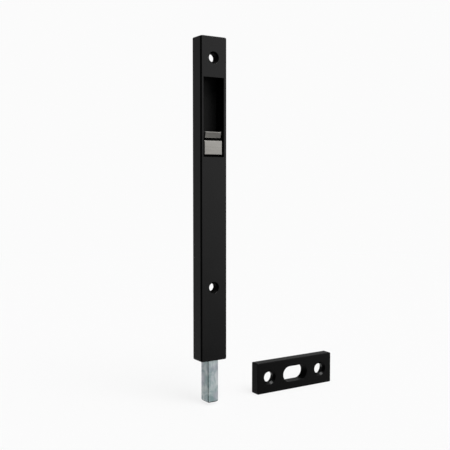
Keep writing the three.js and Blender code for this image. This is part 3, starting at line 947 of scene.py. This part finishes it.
def make_pin():
    """The lever's pivot pin, with chamfered ends."""
    low, high = node_box("toggle_pin")
    radius = 1.0
    edge = 0.15
    profile = [
        (0, low.x),
        (radius - edge, low.x),
        (radius, low.x + edge),
        (radius, high.x - edge),
        (radius - edge, high.x),
        (0, high.x),
    ]
    made = turned(profile, (PIVOT_Y, PIVOT_Z), axis="X", sides=SMALL)
    soften(made, 0)
    finish_piece(made, "lever_pin", "slider", "bright_steel", bright_steel, "toggle_pin")


def tube(points, radius, sides=10):
    """A round wire along points, closed at both ends."""
    sections = []
    for i, point in enumerate(points):
        before, after = points[max(i - 1, 0)], points[min(i + 1, len(points) - 1)]
        along = (after - before).normalized()
        across = along.cross(Vector((0, 1, 0))).normalized()
        up = across.cross(along)
        sections.append([
            point + radius * (math.cos(a) * across + math.sin(a) * up)
            for a in (2 * math.pi * k / sides for k in range(sides))
        ])
    return loft(sections)


def make_spring():
    """The coil spring behind the lever's upper pad."""
    low, high = node_box("toggle_spring")
    wire = 0.17  # radius of the wire
    radius = (high.x - low.x) / 2 - wire
    centre_z = (low.z + high.z) / 2
    turns = 3.5
    steps = 112
    points = []
    for step in range(steps + 1):
        share = step / steps
        angle = 2 * math.pi * turns * share
        y = low.y + wire + (high.y - low.y - 2 * wire) * share
        points.append(Vector((radius * math.cos(angle), y, centre_z + radius * math.sin(angle))))
    made = tube(points, wire)
    soften(made, 0)
    finish_piece(made, "lever_spring", "slider", "spring_steel", spring_steel, "toggle_spring")


def make_leaf():
    """The bowed leaf spring, with a bump in its middle that clicks into the notches."""
    low, high = node_box("detent_leaf")
    middle = (low.z + high.z) / 2
    bow = 2.55
    bump = 0.75
    bump_half = 1.2
    thickness = 0.3
    steps = 40
    inner, outer = [], []
    for step in range(steps + 1):
        z = low.z + (high.z - low.z) * step / steps
        y = low.y + bow * math.sin(math.pi * step / steps)
        y += bump * max(0.0, 1 - abs(z - middle) / bump_half)
        inner.append((y, z))
        outer.append((y + thickness, z))
    made = prism(inner + outer[::-1], "X", (low.x, high.x))
    soften(made, 0.04, 1, angle=50)
    finish_piece(made, "detent_strip", "slider", "spring_steel", spring_steel, "detent_leaf")


# ------------------------------------------------------------------ thumb lever


HUB_HALF = 4.8
LEVER_BORE = 1.08
PAD_BACK = FRONT + 1.95
LOWER_PAD = {"half": 6.95, "front": FRONT + 0.6, "bottom": BOTTOM + 141.1, "top": BOTTOM + 150.5}
UPPER_PAD = {"half": 6.25, "back": FRONT + 2.2, "bottom": BOTTOM + 152.3, "top": BOTTOM + 156.4}
UPPER_FACE = (  # depth and height down the upper pad's face, which is nearly upright at its top
    (FRONT + 0.5, UPPER_PAD["top"]),
    (FRONT + 0.57, UPPER_PAD["top"] - 0.8),
    (FRONT + 1.42, UPPER_PAD["bottom"]),
)
RIB_BACK = FRONT + 3.0
GROOVE_FLOOR = FRONT + 1.9


def make_lever():
    """Two nickel pads. The upper one looks a little downwards."""
    pad = LOWER_PAD
    lower = block(
        (-pad["half"], pad["half"]),
        (pad["front"], PAD_BACK),
        (pad["bottom"], pad["top"]),
        rounded=(lambda middle: middle.y < PAD_BACK - 0.01, 0.4, 5),
    )
    up = UPPER_PAD
    outline = [*UPPER_FACE, (up["back"], up["bottom"]), (up["back"], up["top"])]
    upper = prism(outline, "X", (-up["half"], up["half"]))
    soften(upper, 0.28, 4, angle=60)
    made = join(lower, upper)
    web = prism(
        [
            (GROOVE_FLOOR - 0.05, pad["top"] - 2),
            (PIVOT_Y, PIVOT_Z - HUB_RADIUS),
            (PIVOT_Y, PIVOT_Z + HUB_RADIUS),
            (GROOVE_FLOOR - 0.05, up["bottom"] + 0.4),
        ],
        "X",
        (-HUB_HALF, HUB_HALF),
    )
    hub = rod(HUB_RADIUS, (-HUB_HALF, HUB_HALF), (PIVOT_Y, PIVOT_Z), axis="X", sides=48)
    rib = block((-HUB_HALF, HUB_HALF), (PAD_BACK - 0.1, RIB_BACK), (up["bottom"], up["top"] - 0.4))
    join(made, rib, web, hub)
    cut(made, rod(LEVER_BORE, (-SIDE, SIDE), (PIVOT_Y, PIVOT_Z), axis="X", sides=SMALL))
    soften(made, 0.07, 2, angle=40)
    finish_piece(made, "thumb_lever", "toggle", "satin_nickel", satin_nickel, "toggle_lever")
    # Every face deeper than just in front of the groove's floor gets painted shade: the groove between the
    # pads, the web, hub and rib.
    second_material(made, painted_shade_black, lambda face: face.center.y / MM > GROOVE_FLOOR - 0.2)


# ------------------------------------------------------------------ strike plate


STRIKE_SLOT = (21.9, 11.5)
STRIKE_HOLE_PLACE = 23.4  # each side of the middle
STRIKE_HOLE_RADIUS = 3.85
STRIKE_SINK_RADIUS = 5.3
STRIKE_LIP = 0.15
STRIKE_HOLE_BACK = (6.0, 3.3)  # radius and depth of the wide part at the back
STRIKE_CORNER = 0.75
STRIKE_FRONT_EDGE = 0.42
STRIKE_BACK_EDGE = 0.25


def slab(low, high, corner, front, back):
    """A block that faces -Y, with round corners and with rounded edges in front and at the back."""
    shape = bmesh.new()
    bmesh.ops.create_cube(shape, size=1.0)
    shape.transform(Matrix.Translation((low + high) / 2) @ Matrix.Diagonal((*(high - low), 1.0)))

    def bevel(test, radius, segments):
        edges = [e for e in shape.edges if test(*(v.co.y for v in e.verts))]
        bmesh.ops.bevel(shape, geom=edges, offset=radius, segments=segments, profile=0.5, affect="EDGES")

    bevel(lambda a, b: abs(a - b) > 1, corner, 8)
    bevel(lambda a, b: max(a, b) < low.y + 0.01, front, 5)
    bevel(lambda a, b: min(a, b) > high.y - 0.01, back, 3)
    return to_object("slab", shape)


def make_strike():
    """The strike plate: a slot for the bolt's tip between two countersunk holes, opened out behind."""
    low, high = node_box("strike_plate")
    centre = ((low.x + high.x) / 2, (low.z + high.z) / 2)
    made = slab(low, high, STRIKE_CORNER, STRIKE_FRONT_EDGE, STRIKE_BACK_EDGE)

    half_width, half_height = STRIKE_SLOT[0] / 2, STRIKE_SLOT[1] / 2
    plan = rounded_outline(
        (centre[0] - half_width, centre[0] + half_width),
        (centre[1] - half_height, centre[1] + half_height),
        half_height - 0.005,
        steps=20,
    )
    cut(made, prism(plan, "Y", (low.y - PAST, high.y + PAST)))
    sink_end = low.y + STRIKE_LIP + STRIKE_SINK_RADIUS - STRIKE_HOLE_RADIUS
    wide, wide_depth = STRIKE_HOLE_BACK
    for side in (-1, 1):
        place = (centre[0] + side * STRIKE_HOLE_PLACE, centre[1])
        profile = [
            (0, low.y - PAST),
            (STRIKE_SINK_RADIUS, low.y - PAST),
            (STRIKE_SINK_RADIUS, low.y + STRIKE_LIP),
            (STRIKE_HOLE_RADIUS, sink_end),
            (STRIKE_HOLE_RADIUS, high.y - wide_depth),
            (wide, high.y - wide_depth),
            (wide, high.y + PAST),
            (0, high.y + PAST),
        ]
        cut(made, turned(profile, place))
    soften(made, 0.12, 3)
    finish_piece(made, "strike_body", "base", "strike_paint", strike_paint, "strike_plate")

    def on_slot_end(face):
        """Whether a face is part of the slot's right end."""
        x, z = face.center.x / MM - centre[0], face.center.z / MM - centre[1]
        return face.normal.x < -0.3 and 0 < x < half_width + 0.05 and abs(z) < half_height

    # The slot's right end gets painted shade.
    second_material(made, painted_shade_black, on_slot_end)


# ------------------------------------------------------------------ the object

make_housing()
make_back_plate()
for number, place in enumerate(PLATE_SCREWS, start=1):
    make_screw(
        f"plate_screw_{number}", f"back_plate_screw_{number}", "black_fastener", screw_black, "base",
        centre=place, rim=1.8, shank=0.95, reach=0.8, recess=0.7,
    )
for side, name in ((-1, "left"), (1, "right")):
    make_guide_cheek(side, name)
    make_screw(
        f"cheek_screw_{name}", f"guide_screw_{name}", "bright_steel", bright_steel, "base",
        centre=(side * GUIDE_SCREW_X, GUIDE_SCREW_Z), rim=1.4, shank=0.75, reach=0.6, recess=0.55,
    )
make_buffer()
make_bolt()
make_link()
make_screw(
    "link_fixing", "link_screw", "bright_steel", bright_steel, "slider",
    centre=(0, LINK_SCREW_Z), rim=2.4, shank=1.25, reach=1.1, recess=1.1,
)
for number, x in enumerate(RIVETS, start=1):
    make_rivet(number, x)
make_carriage()
make_pin()
make_spring()
make_leaf()
make_lever()
make_strike()

# ------------------------------------------------------------------ floor, backdrop, light and camera

WHITE = 0.966  # what the backdrop and the floor look like in the picture
FLOOR_LIGHT = 1.28  # how bright the lights make a white floor
FLOOR_SHARE = 0.12  # how much of the floor's brightness comes from the lights, which decides its shadows

# The studio's soft panels: (direction, strength, bright within, dark beyond), in degrees from the direction.
PANELS = (
    ((0.06, -0.52, 0.85), 10.5, 4, 25),  # key: the highlights in the strike plate's countersinks
    ((0.76, -0.57, 0.31), 1.04, 14, 47),  # right front: what the front faces mirror
    ((0.34, -0.54, -0.77), 1.2, 5, 26),  # floor bounce, right front: the bolt's front face
    ((0.02, -0.97, -0.2), 0.4, 8, 27),  # front: for head-on views
    ((-0.62, 0.78, 0.05), 0.26, 14, 44),  # left back: what the left sides mirror
    ((-0.46, 0.58, -0.67), 1.28, 5, 27),  # floor bounce, left back: the bolt's left face
    ((-0.97, 0.09, -0.14), 0.5, 8, 26),  # left: for views of the left side
    ((0.53, 0.80, 0.30), 0.22, 15, 50),  # behind: the strike plate's top face
    ((0.24, 0.88, -0.42), 0.7, 12, 38),  # low behind: for views of the back
    ((0.97, 0.17, 0.17), 0.6, 12, 40),  # right: for views of the right side
    ((0.0, 0.0, 1.0), 0.8, 10, 50),  # above
    ((0.0, 0.0, -1.0), 0.4, 25, 60),  # below
)
AMBIENT = 0.01  # light from every direction, added to the panels

FLOOR_HALF = 5.0  # the floor, the dome and the fade between them are in metres
FLOOR_DROP = 0.0002  # how far the floor lies below the lowest point
FADE = (0.35, 1.1)  # from where the floor starts to turn into backdrop to where it is all backdrop
DOME_RADIUS = 4.5

LENS = 58.569
CAMERA_PLACE = (-0.25895, -0.43424, 0.01261)
CAMERA_DIRECTION = (0.53369, 0.84365, -0.05867)


def matt(nodes, colour):
    """Sets up a matt material that gives white light of its own."""
    nodes.set(Base_Color=colour, Roughness=1.0, Specular_IOR_Level=0.0, Emission_Color=(1, 1, 1, 1))


def make_floor():
    """A pale floor under the object, which turns into the backdrop further out."""
    shape = bmesh.new()
    bmesh.ops.create_grid(shape, x_segments=1, y_segments=1, size=FLOOR_HALF)
    made = to_object("floor", shape)
    made.location = (0, 0, cad_bounds[0][2] - FLOOR_DROP)
    nodes = Nodes("floor_white")
    away = nodes.add("ShaderNodeVectorMath", operation="LENGTH")
    nodes.link(nodes.place(), away.inputs[0])
    far = nodes.spread(away.outputs["Value"], 0.0, 1.0, *FADE)
    matt(nodes, nodes.blend_colour(far, (FLOOR_SHARE,) * 3, (0, 0, 0)))
    glow = nodes.spread(away.outputs["Value"], WHITE - FLOOR_SHARE * FLOOR_LIGHT, WHITE, *FADE)
    made.data.materials.append(nodes.set(Emission_Strength=glow))
    made.visible_glossy = False
    made.visible_diffuse = False


def make_backdrop():
    """A pale dome far behind everything, seen only by the camera."""
    shape = bmesh.new()
    bmesh.ops.create_uvsphere(shape, u_segments=48, v_segments=24, radius=DOME_RADIUS)
    made = to_object("backdrop", shape)
    nodes = Nodes("backdrop_white")
    matt(nodes, (0, 0, 0, 1))
    made.data.materials.append(nodes.set(Emission_Strength=WHITE))
    made.visible_diffuse = False
    made.visible_glossy = False
    made.visible_shadow = False


def make_world():
    """The studio: dark, with soft-edged panels of light."""
    world = bpy.data.worlds.new("studio")
    bpy.context.scene.world = world
    world.use_nodes = True
    tree = world.node_tree
    background = next(n for n in tree.nodes if n.type == "BACKGROUND")
    coordinates = tree.nodes.new("ShaderNodeTexCoord")
    total = None
    for direction, strength, bright, dark in PANELS:
        facing = tree.nodes.new("ShaderNodeVectorMath")
        facing.operation = "DOT_PRODUCT"
        facing.inputs[1].default_value = Vector(direction).normalized()
        tree.links.new(coordinates.outputs["Generated"], facing.inputs[0])
        panel = tree.nodes.new("ShaderNodeMapRange")
        panel.interpolation_type = "SMOOTHSTEP"
        panel.inputs["From Min"].default_value = math.cos(math.radians(dark))
        panel.inputs["From Max"].default_value = math.cos(math.radians(bright))
        panel.inputs["To Min"].default_value = 0.0
        panel.inputs["To Max"].default_value = strength
        tree.links.new(facing.outputs["Value"], panel.inputs["Value"])
        both = tree.nodes.new("ShaderNodeMath")
        both.operation = "ADD"
        tree.links.new(panel.outputs["Result"], both.inputs[0])
        if total:
            tree.links.new(total, both.inputs[1])
        else:
            both.inputs[1].default_value = AMBIENT
        total = both.outputs["Value"]
    tree.links.new(total, background.inputs["Strength"])
    background.inputs["Color"].default_value = (1.0, 1.0, 1.0, 1.0)


def make_camera():
    """The viewing angle: from the left, level with the latch's middle, a little downwards."""
    camera = bpy.data.cameras.new("camera")
    camera.lens = LENS
    camera.sensor_width = 36.0
    camera.clip_start = 0.01
    camera.clip_end = 50.0
    made = bpy.data.objects.new("camera", camera)
    made.location = CAMERA_PLACE
    made.rotation_euler = Vector(CAMERA_DIRECTION).to_track_quat("-Z", "Y").to_euler()
    bpy.context.scene.collection.objects.link(made)
    bpy.context.scene.camera = made


make_floor()
make_backdrop()
make_world()
make_camera()
bpy.context.scene.view_settings.view_transform = "Standard"
